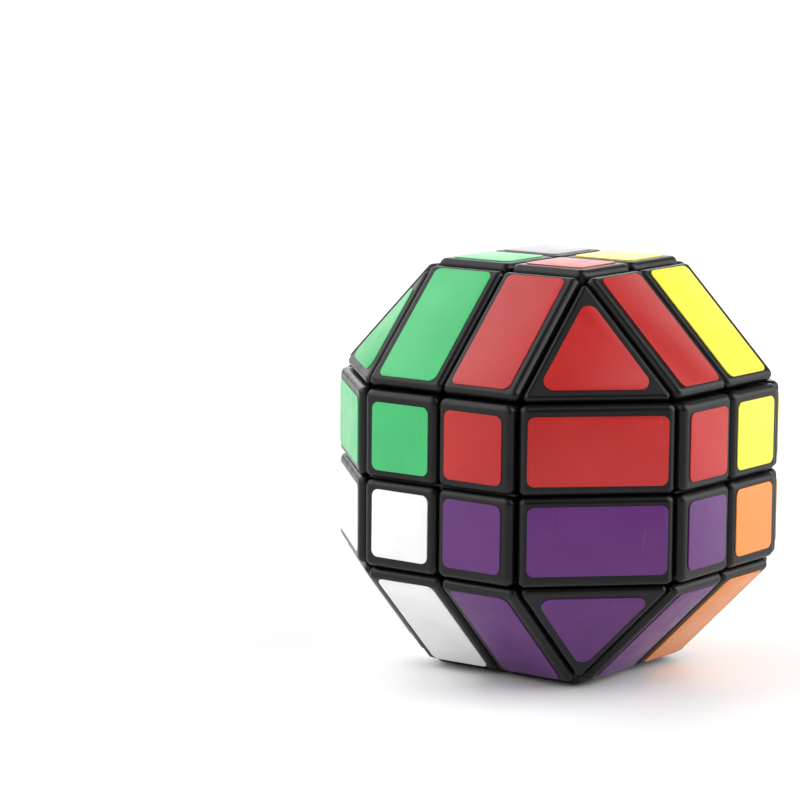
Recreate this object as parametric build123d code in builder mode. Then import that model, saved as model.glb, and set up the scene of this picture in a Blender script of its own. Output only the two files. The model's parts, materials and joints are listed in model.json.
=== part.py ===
"""Four-layer twisty puzzle with 26 faces: 56 stickered cubies, the sliding mechanism behind them
and a screwed six-arm spindle.

Frame: millimetres, origin at the centre of the spindle where all turning axes cross, +Z up, the six
square faces on the X, Y and Z axes, the front one on -Y.

Everything is cut by planes square to the axes and by spheres round the origin, so any layer of any
axis is a body of revolution and can turn. A place in the puzzle is named by its slab on each axis:
0 the hidden middle slab, 1 the inner layer, 2 the outer layer.
"""

from build123d import *
import os

# Outside shape
HALF_FLATS = 35.0  # centre to each square face
OUTER_CUT = 15.0  # cut between the inner and the outer layer, where the visible caps are
WING_PROUD = 0.45  # slanted faces stand this far outside the edges of the square faces
CORNER_PROUD = 0.1  # triangular faces likewise
STICKER = 0.18  # vinyl thickness

# Fits
PLANE_GAP = 0.12  # each piece stands back this much from a cutting plane
SPHERE_GAP = 0.15  # and this much from a spherical one

# Spheres between the shells, and the cuts of each shell
CAP_SPHERE = 30.0
FOOT_SPHERE = 24.5
HOOK_SPHERE = 19.7
CORE_SPHERE = 15.0
FOOT_CUT = 11.0
NECK_CUTS = (6.5, 12.0)
HOOK_CUTS = (4.4, 10.0)
REACH = 40.0  # further out than any piece
OUTER_LAYER_FROM = 12.5  # a piece whose middle is further out belongs to the outer layer
INNER_LAYER_FROM = 3.0  # and one nearer the middle plane than this to the hidden slab

# Caps
WALL = 1.5
ROOF = 1.8
PLUG_SPHERE = 32.5  # how far a foot reaches up inside its cap
CENTRE_CORNER_RADIUS = 1.4
CENTRE_EDGE_RADIUS = 1.2
WING_TIP_RADIUS = 1.2
WING_EDGE_RADIUS = 1.05
CORNER_EDGE_RADIUS = 0.85

# Stickers, flat on the caps
SQUARE_STICKER = 11.4
LONG_STICKER = 23.2
INNER_BORDER = 1.65  # from the middle plane to the nearest sticker
TRIANGLE_BORDER = 2.5
STICKER_RADIUS = 1.2
TRIANGLE_RADIUS = 1.6

# Spindle, screws and springs, along each of the six arms
HUB_RADIUS = 6.0
ARM_RADIUS = 3.6
ARM_END = 14.6
SHELL_WALL = 2.4
SHELL_FIT = 0.05
SCREW_RADIUS = 1.5
SCREW_START = 7.5
SCREW_HOLE_START = 7.0
SCREW_FIT = 0.03
CAP_BORE_FIT = 0.06
HEAD_RADIUS = 2.7
HEAD_BOTTOM = 21.7
HEAD_TOP = 23.5
RECESS_LENGTH = 3.0
RECESS_WIDTH = 0.7
RECESS_DEPTH = 1.0
WASHER_RADIUS = 2.9
WASHER_THICKNESS = 0.5
WELL_RADIUS = 3.3
WELL_FLOOR = 17.0
SEAT_GAP = 0.05
SPRING_RADIUS = 2.4
SPRING_WIRE = 0.35
SPRING_PITCH = 1.1

# Derived
WING_DISTANCE = (HALF_FLATS + OUTER_CUT) / 2**0.5 + WING_PROUD
CORNER_DISTANCE = (HALF_FLATS + 2 * OUTER_CUT) / 3**0.5 + CORNER_PROUD
STICKER_MIDDLE = INNER_BORDER + SQUARE_STICKER / 2
UP = (0, 0, 1)
WING_OUT = (0, 1, 1)
CORNER_OUT = (1, 1, 1)


def inner(cut):
    """Inner layer of an axis, from the middle plane out to a cut."""
    return (PLANE_GAP, cut - PLANE_GAP)


def between(cuts):
    """Inner layer of an axis where a middle slab is left between the two halves."""
    return (cuts[0] + PLANE_GAP, cuts[1] - PLANE_GAP)


def outer(cut):
    """Outer layer of an axis."""
    return (cut + PLANE_GAP, REACH)


def middle(cuts):
    """Middle slab of an axis."""
    return (PLANE_GAP - cuts[0], cuts[0] - PLANE_GAP)


def overlap(one, other):
    """Span common to two spans."""
    return (max(one[0], other[0]), min(one[1], other[1]))


def span_box(spans, mode=Mode.ADD):
    """Box over a span on each axis."""
    sizes = [high - low for low, high in spans]
    middles = [(high + low) / 2 for low, high in spans]
    with Locations(Vector(*middles)):
        Box(*sizes, mode=mode)


def shell_piece(spans, low_sphere, high_sphere):
    """The part of a box between two spheres round the origin."""
    with BuildPart() as piece:
        Sphere(high_sphere)
        Sphere(low_sphere, mode=Mode.SUBTRACT)
        span_box(spans, mode=Mode.INTERSECT)
    return piece.part


def joined(pieces):
    """One solid from overlapping pieces."""
    with BuildPart() as whole:
        for piece in pieces:
            add(piece)
    return whole.part


def bounded_cell(spans, direction, distance):
    """Box cut off by a plane at a distance along a direction from the origin."""
    with BuildPart() as cell:
        span_box(spans)
        if distance is not None:
            length = Vector(*direction).length
            across = Vector(*direction) * (distance / length)
            split(bisect_by=Plane(origin=across, z_dir=direction), keep=Keep.BOTTOM)
    return cell.part


def cavity(spans, direction, distance):
    """Room inside a cap: its cell less the walls, and less the roof."""
    inside = [(low + WALL, high - WALL) for low, high in spans]
    return bounded_cell(inside, direction, distance - ROOF)


def hollowed(rounded, spans, direction, distance):
    """Cap with its rim on the cap sphere and a room inside for the foot's plug."""
    with BuildPart() as cap:
        add(rounded)
        Sphere(CAP_SPHERE + SPHERE_GAP, mode=Mode.SUBTRACT)
        add(cavity(spans, direction, distance), mode=Mode.SUBTRACT)
    return cap.part


# Slabs that bound each visible cap
CENTRE_SPANS = (inner(OUTER_CUT), inner(OUTER_CUT), outer(OUTER_CUT))
WING_SPANS = (inner(OUTER_CUT), outer(OUTER_CUT), outer(OUTER_CUT))
CORNER_SPANS = (outer(OUTER_CUT), outer(OUTER_CUT), outer(OUTER_CUT))


def centre_cap():
    """Square cap of the top face, on its +X +Y quarter."""
    with BuildPart() as rounded:
        add(bounded_cell(CENTRE_SPANS, UP, HALF_FLATS))
        fillet(rounded.edges().filter_by(Axis.Z), CENTRE_CORNER_RADIUS)
        fillet(rounded.faces().sort_by(Axis.Z)[-1].edges(), CENTRE_EDGE_RADIUS)
    return hollowed(rounded.part, CENTRE_SPANS, UP, HALF_FLATS)


def wing_cap():
    """Long cap of the slanted face between the top and +Y, on its +X half."""
    outward = Axis((0, 0, 0), WING_OUT)
    with BuildPart() as rounded:
        add(bounded_cell(WING_SPANS, WING_OUT, WING_DISTANCE))
        fillet(rounded.faces().sort_by(outward)[-1].edges().filter_by(Axis.X), WING_TIP_RADIUS)
        ends = rounded.faces().sort_by(outward)[-1].edges().filter_by(Axis.X, reverse=True)
        fillet(ends, WING_EDGE_RADIUS)
    return hollowed(rounded.part, WING_SPANS, WING_OUT, WING_DISTANCE)


def corner_cap():
    """Triangular cap of the +X +Y top corner."""
    with BuildPart() as rounded:
        add(bounded_cell(CORNER_SPANS, CORNER_OUT, CORNER_DISTANCE))
        fillet(rounded.edges(), CORNER_EDGE_RADIUS)
    return hollowed(rounded.part, CORNER_SPANS, CORNER_OUT, CORNER_DISTANCE)


def foot_with_plug(foot_spans, cap_spans, direction, distance):
    """Foot under the caps, its neck through the cap sphere and the plug inside the cap."""
    room = [(low + WALL, high - WALL) for low, high in cap_spans]
    neck = [overlap(one, other) for one, other in zip(room, foot_spans)]
    with BuildPart() as plug:
        add(cavity(cap_spans, direction, distance))
        Sphere(PLUG_SPHERE, mode=Mode.INTERSECT)
        Sphere(CAP_SPHERE + SPHERE_GAP, mode=Mode.SUBTRACT)
    foot = shell_piece(foot_spans, FOOT_SPHERE + SPHERE_GAP, CAP_SPHERE - SPHERE_GAP)
    tie = shell_piece(neck, CAP_SPHERE - 3 * SPHERE_GAP, CAP_SPHERE + 3 * SPHERE_GAP)
    return joined([foot, tie, plug.part])


def neck_part(spans, foot_spans):
    """Part of a piece in the shell under the feet, tied to what it carries above."""
    shell = shell_piece(spans, HOOK_SPHERE + SPHERE_GAP, FOOT_SPHERE - SPHERE_GAP)
    if foot_spans is None:
        return [shell]
    tie = [overlap(one, other) for one, other in zip(spans, foot_spans)]
    return [shell, shell_piece(tie, FOOT_SPHERE - 3 * SPHERE_GAP, FOOT_SPHERE + 3 * SPHERE_GAP)]


def hook_part(spans, neck_spans):
    """Innermost part of a piece, held under the neck of the piece beside it."""
    shell = shell_piece(spans, CORE_SPHERE + SPHERE_GAP, HOOK_SPHERE - SPHERE_GAP)
    tie = [overlap(one, other) for one, other in zip(spans, neck_spans)]
    return [shell, shell_piece(tie, HOOK_SPHERE - 3 * SPHERE_GAP, HOOK_SPHERE + 3 * SPHERE_GAP)]


def centre_foot():
    """Foot of a centre cubie, reaching down to the hook under the slider beside it."""
    foot_spans = (inner(FOOT_CUT), inner(FOOT_CUT), outer(FOOT_CUT))
    neck_spans = (between(NECK_CUTS), between(NECK_CUTS), outer(NECK_CUTS[1]))
    hook_spans = (between(HOOK_CUTS), between(HOOK_CUTS), outer(HOOK_CUTS[1]))
    top = foot_with_plug(foot_spans, CENTRE_SPANS, UP, HALF_FLATS)
    return joined([top, *neck_part(neck_spans, foot_spans), *hook_part(hook_spans, neck_spans)])


def wing_foot():
    """Foot of an edge cubie, held under the centre caps beside it."""
    foot_spans = (inner(FOOT_CUT), outer(FOOT_CUT), outer(FOOT_CUT))
    neck_spans = (between(NECK_CUTS), outer(NECK_CUTS[1]), outer(NECK_CUTS[1]))
    top = foot_with_plug(foot_spans, WING_SPANS, WING_OUT, WING_DISTANCE)
    return joined([top, *neck_part(neck_spans, foot_spans)])


def corner_foot():
    """Foot of a corner cubie, held under the edge caps beside it."""
    foot_spans = (outer(FOOT_CUT), outer(FOOT_CUT), outer(FOOT_CUT))
    return foot_with_plug(foot_spans, CORNER_SPANS, CORNER_OUT, CORNER_DISTANCE)


def slider():
    """Hidden piece beside an axle cap, between two centre cubies."""
    neck_spans = (middle(NECK_CUTS), between(NECK_CUTS), outer(NECK_CUTS[1]))
    hook_spans = (middle(HOOK_CUTS), between(HOOK_CUTS), outer(HOOK_CUTS[1]))
    return joined([*neck_part(neck_spans, None), *hook_part(hook_spans, neck_spans)])


def inner_edge():
    """Hidden piece between two sliders and two edge cubies."""
    neck_spans = (middle(NECK_CUTS), outer(NECK_CUTS[1]), outer(NECK_CUTS[1]))
    hook_spans = (middle(HOOK_CUTS), outer(HOOK_CUTS[1]), outer(HOOK_CUTS[1]))
    return joined([*neck_part(neck_spans, None), *hook_part(hook_spans, neck_spans)])


def axle_cap():
    """Head over the hooks round it and a stalk in the middle, with a well for the spring."""
    neck_spans = (middle(NECK_CUTS), middle(NECK_CUTS), outer(NECK_CUTS[1]))
    hook_spans = (middle(HOOK_CUTS), middle(HOOK_CUTS), outer(HOOK_CUTS[1]))
    with BuildPart() as cap:
        add(joined([*neck_part(neck_spans, None), *hook_part(hook_spans, neck_spans)]))
        with BuildSketch(Plane.XY.offset(WELL_FLOOR)):
            Circle(WELL_RADIUS)
        extrude(amount=REACH, mode=Mode.SUBTRACT)
        with BuildSketch():
            Circle(SCREW_RADIUS + CAP_BORE_FIT)
        extrude(amount=REACH, mode=Mode.SUBTRACT)
    return cap.part


def screw():
    """Pan head screw with a cross recess, plain where its thread would be."""
    with BuildPart() as fastener:
        with BuildSketch(Plane.XY.offset(SCREW_START)):
            Circle(SCREW_RADIUS)
        extrude(amount=HEAD_BOTTOM - SCREW_START)
        with BuildSketch(Plane.XY.offset(HEAD_BOTTOM)):
            Circle(HEAD_RADIUS)
        extrude(amount=HEAD_TOP - HEAD_BOTTOM)
        fillet(fastener.edges().group_by(Axis.Z)[-1], RECESS_WIDTH)
        with BuildSketch(Plane.XY.offset(HEAD_TOP)):
            Rectangle(RECESS_LENGTH, RECESS_WIDTH)
            Rectangle(RECESS_WIDTH, RECESS_LENGTH)
        extrude(amount=-RECESS_DEPTH, mode=Mode.SUBTRACT)
    return fastener.part


def washer():
    """Plain washer under a screw head."""
    with BuildPart() as ring:
        with BuildSketch(Plane.XY.offset(HEAD_BOTTOM - WASHER_THICKNESS)):
            Circle(WASHER_RADIUS)
            Circle(SCREW_RADIUS + CAP_BORE_FIT, mode=Mode.SUBTRACT)
        extrude(amount=WASHER_THICKNESS)
    return ring.part


def spring():
    """Helical spring between the washer and the well floor, both ends ground flat."""
    bottom = WELL_FLOOR + SEAT_GAP
    top = HEAD_BOTTOM - WASHER_THICKNESS
    with BuildPart() as coil:
        with BuildLine():
            path = Helix(pitch=SPRING_PITCH, height=top - bottom, radius=SPRING_RADIUS)
        with BuildSketch(Plane(origin=path @ 0, z_dir=path % 0)):
            Circle(SPRING_WIRE)
        sweep(path=path, is_frenet=True)
        with BuildSketch():
            Circle(WELL_RADIUS)
        extrude(amount=top - bottom, mode=Mode.INTERSECT)
    with BuildPart() as placed:
        with Locations((0, 0, bottom)):
            add(coil.part)
    return placed.part


def arm_directions():
    """A plane on each of the six arms, its normal pointing outward."""
    return [Plane.XY, -Plane.XY, Plane.YZ, -Plane.YZ, Plane.XZ, -Plane.XZ]


def make_spindle():
    """Hub with six arms, each bored for its screw."""
    with BuildPart() as spindle:
        Sphere(HUB_RADIUS)
        for plane in arm_directions():
            with BuildSketch(plane):
                Circle(ARM_RADIUS)
            extrude(amount=ARM_END)
        for plane in arm_directions():
            with BuildSketch(plane.offset(SCREW_HOLE_START)):
                Circle(SCREW_RADIUS + SCREW_FIT)
            extrude(amount=ARM_END, mode=Mode.SUBTRACT)
    return spindle.part


def core_shell(keep):
    """Half of the ball round the spindle that the hooks ride on, pierced by the arms."""
    with BuildPart() as shell:
        Sphere(CORE_SPHERE - SPHERE_GAP)
        Sphere(CORE_SPHERE - SPHERE_GAP - SHELL_WALL, mode=Mode.SUBTRACT)
        split(bisect_by=Plane.XY, keep=keep)
        for plane in arm_directions():
            with BuildSketch(plane):
                Circle(ARM_RADIUS + SHELL_FIT)
            extrude(amount=REACH, mode=Mode.SUBTRACT)
    return shell.part


def square_sticker():
    """Sticker of the centre cap."""
    with BuildPart() as sticker:
        with BuildSketch(Plane.XY.offset(HALF_FLATS)):
            with Locations((STICKER_MIDDLE, STICKER_MIDDLE)):
                RectangleRounded(SQUARE_STICKER, SQUARE_STICKER, STICKER_RADIUS)
        extrude(amount=STICKER)
    return sticker.part


def long_sticker():
    """Sticker of the wing cap."""
    height = WING_DISTANCE / 2**0.5
    face_middle = (STICKER_MIDDLE, height, height)
    with BuildPart() as sticker:
        with BuildSketch(Plane(origin=face_middle, x_dir=(1, 0, 0), z_dir=WING_OUT)):
            RectangleRounded(SQUARE_STICKER, LONG_STICKER, STICKER_RADIUS)
        extrude(amount=STICKER)
    return sticker.part


def triangle_sticker():
    """Sticker of the corner cap."""
    height = CORNER_DISTANCE / 3**0.5
    face_middle = (height, height, height)
    side = (HALF_FLATS - OUTER_CUT) * 2**0.5 - 2 * TRIANGLE_BORDER * 3**0.5
    with BuildPart() as sticker:
        with BuildSketch(Plane(origin=face_middle, x_dir=(1, -1, 0), z_dir=CORNER_OUT)) as outline:
            with Locations((0, 0)):
                RegularPolygon(side / 3**0.5, 3, rotation=-90)
            fillet(outline.vertices(), TRIANGLE_RADIUS)
        extrude(amount=STICKER)
    return sticker.part


# Places: the first piece of each kind is built at the top, the rest are turned copies of it
QUARTERS = [Location((0, 0, 0), (0, 0, 90 * quarter)) for quarter in range(4)]
TO_FRONT = Location((0, 0, 0), (90, 0, 0))
TO_BOTTOM = Location((0, 0, 0), (180, 0, 0))
TOP_TURNS = QUARTERS
BOTTOM_TURNS = [TO_BOTTOM * spin for spin in QUARTERS]
ALL_TURNS = TOP_TURNS + BOTTOM_TURNS + [spin * TO_FRONT * turn for spin in QUARTERS for turn in QUARTERS]
SIDE_TURNS = [spin * TO_FRONT for spin in QUARTERS]
MIDDLE_EDGE_TURNS = [spin * TO_FRONT * QUARTERS[1] for spin in QUARTERS]

# Heights that the middle of a piece lies between, by layer
LAYERS = {
    "top": (OUTER_LAYER_FROM, REACH),
    "upper_middle": (INNER_LAYER_FROM, OUTER_LAYER_FROM),
    "middle": (-INNER_LAYER_FROM, INNER_LAYER_FROM),
    "lower_middle": (-OUTER_LAYER_FROM, -INNER_LAYER_FROM),
    "bottom": (-REACH, -OUTER_LAYER_FROM),
}
COLOURS = {
    ("front", "left", True): "green",
    ("front", "right", True): "red",
    ("back", "right", True): "yellow",
    ("back", "left", True): "grey",
    ("front", "left", False): "white",
    ("front", "right", False): "purple",
    ("back", "right", False): "orange",
    ("back", "left", False): "blue",
}


def copies(piece, turns):
    """The piece in each of its places."""
    return [piece.moved(turn) for turn in turns]


def in_layer(pieces, layer):
    """The pieces whose middle lies in a layer."""
    low, high = LAYERS[layer]
    return [piece for piece in pieces if low < piece.center(CenterOf.MASS).Z < high]


def depth_side(piece):
    """Which of front and back a piece is on."""
    return "front" if piece.center(CenterOf.MASS).Y < 0 else "back"


def width_side(piece):
    """Which of left and right a piece is on."""
    return "left" if piece.center(CenterOf.MASS).X < 0 else "right"


def face_side(piece):
    """Which upright face a top or bottom edge piece lies beside."""
    middle_point = piece.center(CenterOf.MASS)
    return depth_side(piece) if abs(middle_point.Y) > abs(middle_point.X) else width_side(piece)


def colour(piece):
    """Colour of the eighth of the puzzle that a sticker is on."""
    return COLOURS[depth_side(piece), width_side(piece), piece.center(CenterOf.MASS).Z > 0]


def write(name, pieces):
    """One node of separate solids, as a STEP file."""
    with BuildPart() as node:
        add(pieces)
    node.part.label = name
    export_step(node.part, f"parts/{name}.step")


def write_cubies():
    """The black caps, by the place they show in."""
    corners = copies(corner_cap(), TOP_TURNS + BOTTOM_TURNS)
    wings = copies(wing_cap(), ALL_TURNS)
    centres = copies(centre_cap(), ALL_TURNS)
    for layer in ("top", "bottom"):
        for piece in in_layer(corners, layer):
            write(f"corner_{layer}_{depth_side(piece)}_{width_side(piece)}", [piece])
        for side in ("front", "back", "left", "right"):
            pair = [piece for piece in in_layer(wings, layer) if face_side(piece) == side]
            write(f"edge_pair_{layer}_{side}", pair)
    for layer in ("upper_middle", "lower_middle"):
        write(f"edges_{layer}", in_layer(wings, layer))
    for layer in ("top", "upper_middle", "lower_middle", "bottom"):
        write(f"centres_{layer}", in_layer(centres, layer))


def write_stickers():
    """The stickers, by colour and layer."""
    stickers = copies(triangle_sticker(), TOP_TURNS + BOTTOM_TURNS)
    stickers += copies(long_sticker(), ALL_TURNS)
    stickers += copies(square_sticker(), ALL_TURNS)
    for layer in ("top", "upper_middle", "lower_middle", "bottom"):
        for shade in COLOURS.values():
            chosen = [piece for piece in in_layer(stickers, layer) if colour(piece) == shade]
            if chosen:
                write(f"stickers_{shade}_{layer}", chosen)


def write_mechanism():
    """Everything behind the caps that moves with the layers or carries them."""
    feet = copies(corner_foot(), TOP_TURNS + BOTTOM_TURNS)
    feet += copies(wing_foot(), ALL_TURNS)
    feet += copies(centre_foot(), ALL_TURNS)
    sliders = copies(slider(), ALL_TURNS)
    edges = copies(inner_edge(), TOP_TURNS + BOTTOM_TURNS + MIDDLE_EDGE_TURNS)
    caps = copies(axle_cap(), [QUARTERS[0], TO_BOTTOM, *SIDE_TURNS])
    for layer in ("top", "upper_middle", "lower_middle", "bottom"):
        write(f"feet_{layer}", in_layer(feet, layer))
    for layer in LAYERS:
        write(f"inner_sliders_{layer}", in_layer(sliders, layer))
    for layer in ("top", "middle", "bottom"):
        write(f"inner_edges_{layer}", in_layer(edges, layer))
        write(f"axle_caps_{layer}", in_layer(caps, layer))


def write_core():
    """The spindle, the ball round it and what is screwed to it."""
    arms = [QUARTERS[0], TO_BOTTOM, *SIDE_TURNS]
    write("spindle", [make_spindle()])
    write("core_shell_upper", [core_shell(Keep.TOP)])
    write("core_shell_lower", [core_shell(Keep.BOTTOM)])
    write("screws", copies(screw(), arms))
    write("washers", copies(washer(), arms))
    write("springs", copies(spring(), arms))


os.makedirs("parts", exist_ok=True)
write_cubies()
write_stickers()
write_mechanism()
write_core()
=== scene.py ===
"""Finish, stickers, studio and camera of the four-layer twisty puzzle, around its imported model."""

import json
import math
import random

import bmesh
import bpy
from mathutils import Matrix, Vector

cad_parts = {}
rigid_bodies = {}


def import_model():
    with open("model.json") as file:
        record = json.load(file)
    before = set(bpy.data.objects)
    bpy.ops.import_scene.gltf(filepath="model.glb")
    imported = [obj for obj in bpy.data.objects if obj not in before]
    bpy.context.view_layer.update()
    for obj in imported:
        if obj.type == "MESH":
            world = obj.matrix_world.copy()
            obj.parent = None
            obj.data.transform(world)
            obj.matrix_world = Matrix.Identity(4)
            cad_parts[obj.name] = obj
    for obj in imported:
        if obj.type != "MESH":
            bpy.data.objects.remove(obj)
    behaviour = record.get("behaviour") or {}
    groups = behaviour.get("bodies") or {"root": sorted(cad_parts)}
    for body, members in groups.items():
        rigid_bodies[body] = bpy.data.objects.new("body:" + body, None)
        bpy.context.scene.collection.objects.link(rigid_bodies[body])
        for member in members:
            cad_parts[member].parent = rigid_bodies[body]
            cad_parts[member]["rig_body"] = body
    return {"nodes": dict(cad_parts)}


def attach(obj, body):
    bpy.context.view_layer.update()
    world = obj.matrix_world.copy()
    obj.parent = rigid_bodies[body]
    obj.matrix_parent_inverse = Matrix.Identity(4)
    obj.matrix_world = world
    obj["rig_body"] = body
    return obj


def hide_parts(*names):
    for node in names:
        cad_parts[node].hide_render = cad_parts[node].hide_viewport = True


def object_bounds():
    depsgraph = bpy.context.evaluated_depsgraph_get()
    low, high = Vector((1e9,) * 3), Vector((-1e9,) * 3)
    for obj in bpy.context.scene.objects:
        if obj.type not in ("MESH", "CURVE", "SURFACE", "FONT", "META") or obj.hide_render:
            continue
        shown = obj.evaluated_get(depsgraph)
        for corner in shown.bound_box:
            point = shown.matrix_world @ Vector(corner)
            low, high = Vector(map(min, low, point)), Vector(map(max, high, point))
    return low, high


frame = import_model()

CAD_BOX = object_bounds()
SEED = 41

# Stickers, in metres: die-cut vinyl laid by hand, so each sits a hair off its place.
STICKER_THICKNESS = 0.00018
MERGE_DISTANCE = 1e-6
CUT_EDGE = 0.00005
SHIFT = 0.00007
TURN = math.radians(0.45)
SMOOTH_ANGLE = math.radians(35)
FLAT_ANGLE = math.radians(0.5)
EDGE_STEPS = 3
MITRE_LIMIT = 0.3

# Where most of a noise texture's values lie.
NOISE_LOW = 0.3
NOISE_HIGH = 0.7

# Linear base colours of the vinyl.
VINYL = {
    "green": (0.047, 0.440, 0.142),
    "red": (0.400, 0.012, 0.011),
    "yellow": (0.820, 0.760, 0.060),
    "grey": (0.280, 0.280, 0.300),
    "white": (0.800, 0.800, 0.800),
    "purple": (0.094, 0.018, 0.138),
    "orange": (0.700, 0.235, 0.048),
    "blue": (0.014, 0.070, 0.360),
}

# Which finish each family of CAD nodes takes, by the start of its name.
FINISH_OF = {
    "corner_": "black",
    "edge_pair_": "black",
    "edges_": "black",
    "centres_": "black",
    "feet_": "grey",
    "inner_": "grey",
    "axle_caps_": "grey",
    "spindle": "white",
    "core_shell_": "white",
    "screws": "steel",
    "washers": "steel",
    "springs": "steel",
}

# Thin ribs in the seams between the four middle caps of a face, below the rounded edges, in metres.
RIB_HALF_THICKNESS = 0.0002
RIB_HALF_WIDTH = 0.0148
RIB_REACHES = ((0.0244, 0.0334), (-0.0334, -0.0244))
RIB_UNDERSIDE = -0.0001
UPRIGHT_START = 0.00013
UPRIGHT_END = 0.0108

# The camera, its place right, up and back from the object's centre.
CAMERA_AZIMUTH = math.radians(36.805)
CAMERA_ELEVATION = math.radians(8.720)
CAMERA_ROLL = math.radians(0.379)
CAMERA_PLACE = (-0.02684, 0.01018, 0.58230)
CAMERA_LENS = 152.67
SENSOR = 36.0
CLIP_START = 0.01
CLIP_END = 50.0

# The studio: lamps as (azimuth, elevation, strength), the angles in degrees, azimuth 0 towards -Y
# and 90 towards +X.
FLOOR_SIZE = 14.0
FLOOR_GAP = 0.00001
SURROUND_RADIUS = 2.2
SURROUND_GLOW = 1.05
LAMP_CORE = math.radians(8)
LAMP_RIM = math.radians(38)
LAMPS = {
    "back_left": (-150, 10, 2.20),
    "left": (-45, 10, 1.25),
    "front": (-10, 10, 0.65),
    "right_back": (130, 10, 3.30),
    "high_back_left": (-120, 38, 1.10),
    "high_left": (-65, 40, 2.80),
    "high_front": (-10, 40, 1.15),
    "high_right": (110, 42, 3.60),
}


class Finish:
    """A principled material in the making, with object-space texture nodes."""

    def __init__(self, name):
        self.material = bpy.data.materials.new(name)
        self.material.use_nodes = True
        self.tree = self.material.node_tree
        self.shader = self.tree.nodes["Principled BSDF"]
        self.coordinates = self.add("ShaderNodeTexCoord").outputs["Object"]

    def add(self, kind, **settings):
        """A new node, with its settings."""
        node = self.tree.nodes.new(kind)
        for setting, value in settings.items():
            setattr(node, setting, value)
        return node

    def join(self, output, target):
        """Links an output to an input."""
        self.tree.links.new(output, target)

    def noise(self, scale, detail=2.0, roughness=0.5, stretch=(1, 1, 1), turn=(0, 0, 0)):
        """Noise with features of about 1 / scale metres, stretched and turned if wished."""
        mapping = self.add("ShaderNodeMapping")
        mapping.inputs["Scale"].default_value = stretch
        mapping.inputs["Rotation"].default_value = turn
        texture = self.add("ShaderNodeTexNoise")
        texture.inputs["Scale"].default_value = scale
        texture.inputs["Detail"].default_value = detail
        texture.inputs["Roughness"].default_value = roughness
        self.join(self.coordinates, mapping.inputs["Vector"])
        self.join(mapping.outputs["Vector"], texture.inputs["Vector"])
        return texture.outputs["Fac"]

    def remap(self, value, low, high, to_low, to_high):
        """value, from low..high to to_low..to_high, held at both ends."""
        node = self.add("ShaderNodeMapRange", clamp=True)
        node.inputs["From Min"].default_value = low
        node.inputs["From Max"].default_value = high
        node.inputs["To Min"].default_value = to_low
        node.inputs["To Max"].default_value = to_high
        self.join(value, node.inputs["Value"])
        return node.outputs["Result"]

    def uneven(self, scale, detail, low, high):
        """Noise spread over low..high."""
        return self.remap(self.noise(scale, detail), NOISE_LOW, NOISE_HIGH, low, high)

    def combine(self, first, second, operation):
        """A Math node on two outputs, or on an output and a number."""
        node = self.add("ShaderNodeMath", operation=operation, use_clamp=operation != "SUBTRACT")
        for value, target in ((first, node.inputs[0]), (second, node.inputs[1])):
            if isinstance(value, (int, float)):
                target.default_value = value
            else:
                self.join(value, target)
        return node.outputs["Value"]

    def blend(self, amount, first, second):
        """A colour between two, each a colour or an output."""
        node = self.add("ShaderNodeMix", data_type="RGBA")
        self.join(amount, node.inputs["Factor"])
        for value, target in ((first, node.inputs[6]), (second, node.inputs[7])):
            if isinstance(value, tuple):
                target.default_value = (*value, 1.0)
            else:
                self.join(value, target)
        return node.outputs[2]

    def dust(self, scale, size, rarity):
        """Sparse specks: 1 on a speck, 0 elsewhere."""
        cells = self.add("ShaderNodeTexVoronoi", feature="F1")
        cells.inputs["Scale"].default_value = scale
        self.join(self.coordinates, cells.inputs["Vector"])
        speck = self.remap(cells.outputs["Distance"], size * 0.5, size, 1.0, 0.0)
        patches = self.remap(self.noise(scale * 0.31, 3.0), rarity, rarity + 0.08, 0.0, 1.0)
        return self.combine(speck, patches, "MULTIPLY")

    def scratches(self, scale, threshold):
        """Fine hair scratches in two directions: 1 on a scratch, 0 elsewhere."""
        first = self.noise(scale, 1.0, 0.4, (1, 0.07, 0.10), (0.5, 0.3, 0.8))
        second = self.noise(scale, 1.0, 0.4, (0.10, 1, 0.07), (0.2, 0.9, 0.4))
        marks = [self.remap(one, threshold, threshold + 0.04, 0.0, 1.0)
                 for one in (first, second)]
        return self.combine(marks[0], marks[1], "MAXIMUM")

    def wear_and_highlight_edges(self, reach):
        """1 on rounded outer edges, 0 on open faces, from how near the far wall is inside: where
        rubbed wear and a painted highlight go.
        """
        inside = self.add("ShaderNodeAmbientOcclusion", inside=True, only_local=True, samples=6)
        inside.inputs["Distance"].default_value = reach
        return self.remap(inside.outputs["AO"], 0.35, 0.92, 1.0, 0.0)

    def relief(self, parts):
        """Bump from (height output, distance in metres) pairs, onto the shader's normal."""
        normal = None
        for height, distance in parts:
            bump = self.add("ShaderNodeBump")
            bump.inputs["Strength"].default_value = 1.0
            bump.inputs["Distance"].default_value = distance
            self.join(height, bump.inputs["Height"])
            if normal is not None:
                self.join(normal, bump.inputs["Normal"])
            normal = bump.outputs["Normal"]
        self.join(normal, self.shader.inputs["Normal"])


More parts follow.
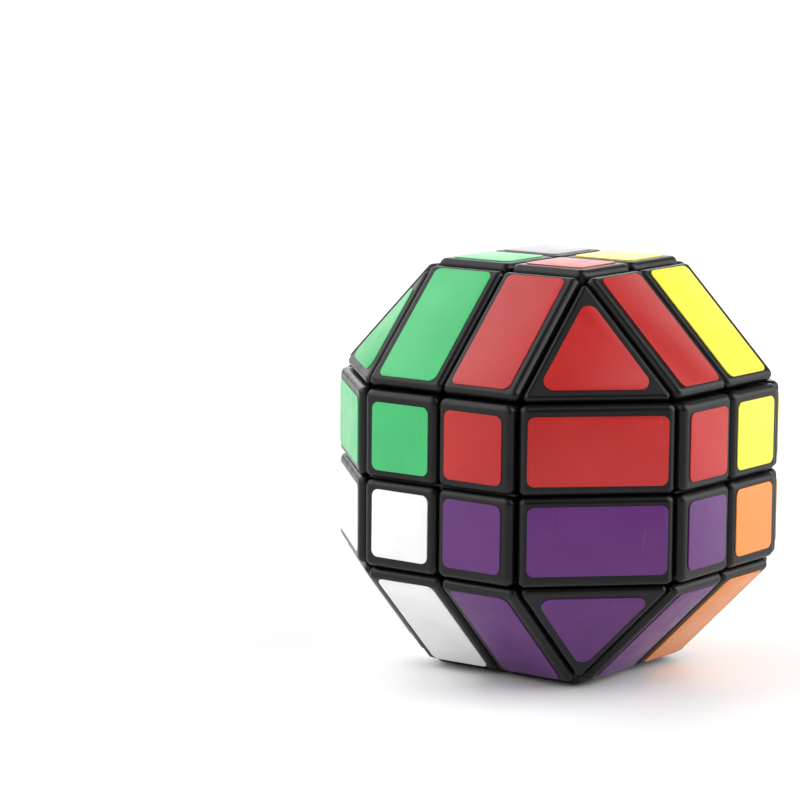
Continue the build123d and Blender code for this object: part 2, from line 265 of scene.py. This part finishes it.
def vinyl(name, colour):
    """Satin printed vinyl: faint mottling, fine orange peel, a little dust and hair scratches."""
    finish = Finish(name)
    mottle = finish.uneven(90, 3.0, 0.0, 1.0)
    darker = tuple(0.93 * channel for channel in colour)
    lighter = tuple(min(1.0, 1.06 * channel + 0.004) for channel in colour)
    ink = finish.blend(mottle, darker, lighter)
    dust = finish.dust(900, size=0.15, rarity=0.63)
    hairs = finish.scratches(1900, threshold=0.755)
    marks = finish.combine(finish.combine(dust, 0.16, "MULTIPLY"),
                           finish.combine(hairs, 0.022, "MULTIPLY"), "MAXIMUM")
    marked = finish.blend(marks, ink, (0.62, 0.60, 0.58))
    finish.join(marked, finish.shader.inputs["Base Color"])
    gloss = finish.uneven(260, 4.0, 0.30, 0.40)
    rough = finish.combine(gloss, finish.combine(marks, 0.5, "MULTIPLY"), "ADD")
    finish.join(rough, finish.shader.inputs["Roughness"])
    finish.shader.inputs["Specular IOR Level"].default_value = 0.30
    finish.relief([(finish.noise(700, 2.0), 0.000010), (finish.noise(5200, 2.0), 0.0000012),
                   (hairs, 0.000002)])
    return finish.material


def moulded(name, colour, rubbed_and_highlight, roughness, grain):
    """Satin moulded plastic: fine spark-eroded grain, slight unevenness, and rounded edges that are
    lighter and smoother, partly from rubbed wear and partly a painted highlight.
    """
    finish = Finish(name)
    darker = tuple(0.86 * channel for channel in colour)
    body = finish.blend(finish.uneven(120, 4.0, 0.0, 1.0), darker, colour)
    patches = finish.remap(finish.noise(420, 3.0), 0.35, 0.65, 0.25, 1.0)
    edges = finish.combine(finish.wear_and_highlight_edges(0.0010), patches, "MULTIPLY")
    # Rounded edges lightened towards the rubbed colour: partly rubbed wear, partly a painted
    # highlight.
    worn_and_highlit = finish.blend(edges, body, rubbed_and_highlight)
    dust = finish.combine(finish.dust(1100, size=0.14, rarity=0.62), 0.25, "MULTIPLY")
    dusted = finish.blend(dust, worn_and_highlit, (0.45, 0.44, 0.42))
    finish.join(dusted, finish.shader.inputs["Base Color"])
    satin = finish.uneven(340, 4.0, roughness - 0.05, roughness + 0.05)
    polished = finish.combine(satin, finish.combine(edges, 0.10, "MULTIPLY"), "SUBTRACT")
    finish.join(polished, finish.shader.inputs["Roughness"])
    finish.shader.inputs["Specular IOR Level"].default_value = 0.24
    finish.relief([(finish.noise(600, 2.0), 0.000006), (finish.noise(4600, 2.0), grain)])
    return finish.material


def steel(name):
    """Zinc-plated steel with fine turning marks."""
    finish = Finish(name)
    grain = finish.noise(5200, 3.0, 0.6, (1, 1, 0.06))
    tone = finish.blend(finish.remap(grain, NOISE_LOW, NOISE_HIGH, 0.0, 1.0),
                        (0.50, 0.50, 0.52), (0.68, 0.68, 0.70))
    finish.join(tone, finish.shader.inputs["Base Color"])
    finish.shader.inputs["Metallic"].default_value = 1.0
    finish.join(finish.remap(grain, NOISE_LOW, NOISE_HIGH, 0.24, 0.38),
                finish.shader.inputs["Roughness"])
    finish.relief([(grain, 0.000002)])
    return finish.material


def paper(name):
    """The studio's pale floor: matt card with a faint tooth."""
    finish = Finish(name)
    tone = finish.blend(finish.uneven(30, 3.0, 0.0, 1.0),
                        (0.88, 0.88, 0.88), (0.90, 0.90, 0.90))
    finish.join(tone, finish.shader.inputs["Base Color"])
    finish.join(finish.uneven(900, 2.0, 0.50, 0.60), finish.shader.inputs["Roughness"])
    finish.relief([(finish.noise(1500, 2.0), 0.000004)])
    return finish.material


def glow_card(name):
    """A plain white card that shines a little, for the surround behind everything."""
    finish = Finish(name)
    tone = finish.blend(finish.noise(3, 2.0), (1.0, 1.0, 1.0), (0.97, 0.97, 0.97))
    finish.join(tone, finish.shader.inputs["Emission Color"])
    finish.shader.inputs["Emission Strength"].default_value = SURROUND_GLOW
    return finish.material


def dress(node, material):
    """Gives a CAD node another material, and leaves its mesh alone."""
    for place in node.material_slots:
        place.link = "OBJECT"
        place.material = material


def islands(mesh):
    """The outward face of each separate sticker in a mesh: its corners in order, and its normal."""
    whole = bmesh.new()
    whole.from_mesh(mesh)
    bmesh.ops.remove_doubles(whole, verts=whole.verts[:], dist=MERGE_DISTANCE)
    bmesh.ops.dissolve_limit(whole, angle_limit=FLAT_ANGLE, verts=whole.verts[:],
                             edges=whole.edges[:])
    outer = [face for face in whole.faces if len(face.verts) > 4 and
             face.normal.dot(face.calc_center_median()) > 0]
    found = [([v.co.copy() for v in face.verts], face.normal.copy()) for face in outer]
    whole.free()
    found.sort(key=lambda one: tuple(round(c, 5) for c in sum(one[0], Vector()) / len(one[0])))
    return found


def nudged(corners, normal, chance):
    """The outline a hair off its place in its own plane, as a hand-laid sticker is."""
    middle = sum(corners, Vector()) / len(corners)
    along = (corners[1] - corners[0]).normalized()
    across = normal.cross(along)
    shift = along * chance.uniform(-SHIFT, SHIFT) + across * chance.uniform(-SHIFT, SHIFT)
    turn = Matrix.Rotation(chance.uniform(-TURN, TURN), 3, normal)
    return [middle + shift + turn @ (corner - middle) for corner in corners]


def inset(corners, normal, amount):
    """The outline moved inwards by an amount."""
    moved = []
    befores, afters = corners[-1:] + corners[:-1], corners[1:] + corners[:1]
    for before, here, after in zip(befores, corners, afters):
        incoming = normal.cross((here - before).normalized())
        outgoing = normal.cross((after - here).normalized())
        inward = (incoming + outgoing).normalized()
        moved.append(here + inward * amount / max(inward.dot(incoming), MITRE_LIMIT))
    return moved


def new_object(name, points, faces, material):
    """A new object in the scene from points and faces."""
    mesh = bpy.data.meshes.new(name)
    mesh.from_pydata([tuple(point) for point in points], [], faces)
    mesh.materials.append(material)
    made = bpy.data.objects.new(name, mesh)
    bpy.context.scene.collection.objects.link(made)
    return made


def sticker(name, corners, normal, material):
    """One die-cut sticker: a flat sheet whose cut upper edge is softly rounded."""
    rings = [[corner - normal * STICKER_THICKNESS for corner in corners]]
    for step in range(EDGE_STEPS + 1):
        angle = math.pi / 2 * step / EDGE_STEPS
        inwards = CUT_EDGE * (1 - math.cos(angle))
        below = CUT_EDGE * (1 - math.sin(angle))
        rings.append([corner - normal * below for corner in inset(corners, normal, inwards)])
    count = len(corners)
    points = [corner for ring in rings for corner in ring]
    faces = [tuple(reversed(range(count))), tuple(range(len(points) - count, len(points)))]
    for ring in range(len(rings) - 1):
        for here in range(count):
            after = (here + 1) % count
            faces.append((ring * count + here, ring * count + after,
                          (ring + 1) * count + after, (ring + 1) * count + here))
    made = new_object(name, points, faces, material)
    made.data.shade_smooth()
    made.data.set_sharp_from_angle(angle=SMOOTH_ANGLE)
    return made


def lay_stickers(finishes):
    """Puts a detailed sticker in the place of each plain CAD one, on the same body."""
    chance = random.Random(SEED)
    for name in sorted(frame["nodes"]):
        if not name.startswith("stickers_"):
            continue
        node = frame["nodes"][name]
        colour, layer = name.split("_", 2)[1:]
        for number, (corners, normal) in enumerate(islands(node.data), start=1):
            outline = nudged(corners, normal, chance)
            piece = sticker(f"sticker_{colour}_{layer}_{number}", outline, normal,
                            finishes[colour])
            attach(piece, node["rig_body"])
            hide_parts(name)


def rib(name, low, high, layer, material):
    """A thin flat rib between two corners, on the body of a layer."""
    corners = [(x, y, z) for x in (low[0], high[0]) for y in (low[1], high[1])
               for z in (low[2], high[2])]
    faces = [(0, 1, 3, 2), (4, 6, 7, 5), (0, 4, 5, 1), (2, 3, 7, 6), (0, 2, 6, 4), (1, 5, 7, 3)]
    made = new_object(name, corners, faces, material)
    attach(made, frame["nodes"]["centres_" + layer]["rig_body"])


def close_seams(material):
    """Ribs moulded on the middle caps' sides, which shut the see-through seams of all six faces."""
    thin, wide, under = RIB_HALF_THICKNESS, RIB_HALF_WIDTH, RIB_UNDERSIDE
    for layer, (low, high) in zip(("top", "bottom"), RIB_REACHES):
        rib(f"rib_{layer}_1", (-thin, -wide, low), (thin, wide, high), layer, material)
        rib(f"rib_{layer}_2", (-wide, -thin, low), (wide, thin, high), layer, material)
    for number, (low, high) in enumerate(RIB_REACHES, start=1):
        layer = "upper_middle"
        rib(f"rib_{layer}_flat_x{number}", (low, -wide, under), (high, wide, thin), layer, material)
        rib(f"rib_{layer}_flat_y{number}", (-wide, low, under), (wide, high, thin), layer, material)
        for layer, foot, top in (("upper_middle", UPRIGHT_START, UPRIGHT_END),
                                 ("lower_middle", -UPRIGHT_END, -UPRIGHT_START)):
            name = f"rib_{layer}_upright_"
            rib(f"{name}x{number}", (low, -thin, foot), (high, thin, top), layer, material)
            rib(f"{name}y{number}", (-thin, low, foot), (thin, high, top), layer, material)


def dress_nodes():
    """The finish of every CAD node that stays, and the ribs, which share the caps' plastic."""
    finishes = {
        # Each plastic's second colour is the lighter tone of its rounded edges: partly rubbed wear,
        # partly a painted highlight.
        "black": moulded("black_plastic", (0.0030, 0.0030, 0.0036), (0.012, 0.012, 0.013),
                         roughness=0.34, grain=0.0000030),
        "grey": moulded("pale_grey_plastic", (0.55, 0.55, 0.54), (0.62, 0.62, 0.61),
                        roughness=0.45, grain=0.0000022),
        "white": moulded("white_plastic", (0.72, 0.72, 0.70), (0.78, 0.78, 0.77),
                         roughness=0.42, grain=0.0000022),
        "steel": steel("zinc_plated_steel"),
    }
    for name, node in frame["nodes"].items():
        for start, finish in FINISH_OF.items():
            if name.startswith(start):
                dress(node, finishes[finish])
    close_seams(finishes["black"])


def soft_lamps(world):
    """Lights the world with round soft glows, each in one direction from everywhere."""
    tree = world.node_tree
    background = tree.nodes["Background"]
    background.inputs["Color"].default_value = (1.0, 1.0, 1.0, 1.0)
    direction = tree.nodes.new("ShaderNodeTexCoord").outputs["Generated"]
    total = None
    for azimuth, elevation, strength in LAMPS.values():
        around, above = math.radians(azimuth), math.radians(elevation)
        toward = tree.nodes.new("ShaderNodeVectorMath")
        toward.operation = "DOT_PRODUCT"
        toward.inputs[1].default_value = (math.sin(around) * math.cos(above),
                                          -math.cos(around) * math.cos(above),
                                          math.sin(above))
        tree.links.new(direction, toward.inputs[0])
        glow = tree.nodes.new("ShaderNodeMapRange")
        glow.interpolation_type = "SMOOTHSTEP"
        glow.inputs["From Min"].default_value = math.cos(LAMP_RIM)
        glow.inputs["From Max"].default_value = math.cos(LAMP_CORE)
        glow.inputs["To Max"].default_value = strength
        tree.links.new(toward.outputs["Value"], glow.inputs["Value"])
        if total is None:
            total = glow.outputs["Result"]
            continue
        added = tree.nodes.new("ShaderNodeMath")
        added.operation = "ADD"
        tree.links.new(total, added.inputs[0])
        tree.links.new(glow.outputs["Result"], added.inputs[1])
        total = added.outputs["Value"]
    tree.links.new(total, background.inputs["Strength"])


def studio():
    """A pale floor, soft lamps, and a plain white surround that only the camera sees."""
    level = CAD_BOX[0][2] - FLOOR_GAP
    bpy.ops.mesh.primitive_plane_add(size=FLOOR_SIZE, location=(0, 0, level))
    floor = bpy.context.object
    floor.name = "studio_floor"
    floor.data.materials.append(paper("floor_card"))

    bpy.ops.mesh.primitive_uv_sphere_add(radius=SURROUND_RADIUS, segments=48, ring_count=24)
    surround = bpy.context.object
    surround.name = "studio_surround"
    surround.data.materials.append(glow_card("surround_card"))
    surround.visible_diffuse = False
    surround.visible_glossy = False
    surround.visible_transmission = False
    surround.visible_shadow = False

    world = bpy.data.worlds.new("studio")
    bpy.context.scene.world = world
    world.use_nodes = True
    soft_lamps(world)


def camera():
    """The camera, turned as its angles say and placed from the object's centre."""
    sin_a, cos_a = math.sin(CAMERA_AZIMUTH), math.cos(CAMERA_AZIMUTH)
    sin_e, cos_e = math.sin(CAMERA_ELEVATION), math.cos(CAMERA_ELEVATION)
    back = Vector((sin_a * cos_e, -cos_a * cos_e, sin_e))
    level = Vector((cos_a, sin_a, 0))
    upright = back.cross(level)
    right = level * math.cos(CAMERA_ROLL) + upright * math.sin(CAMERA_ROLL)
    up = upright * math.cos(CAMERA_ROLL) - level * math.sin(CAMERA_ROLL)
    lens = bpy.data.cameras.new("camera")
    lens.lens = CAMERA_LENS
    lens.sensor_width = SENSOR
    lens.clip_start = CLIP_START
    lens.clip_end = CLIP_END
    axes = Matrix((right, up, back)).transposed()
    place = axes @ Vector(CAMERA_PLACE)
    holder = bpy.data.objects.new("camera", lens)
    holder.matrix_world = Matrix.Translation(place) @ axes.to_4x4()
    bpy.context.scene.collection.objects.link(holder)
    bpy.context.scene.camera = holder


def main():
    """Builds the whole scene."""
    dress_nodes()
    lay_stickers({colour: vinyl("vinyl_" + colour, shade) for colour, shade in VINYL.items()})
    studio()
    camera()
    bpy.context.scene.view_settings.view_transform = "Standard"


main()
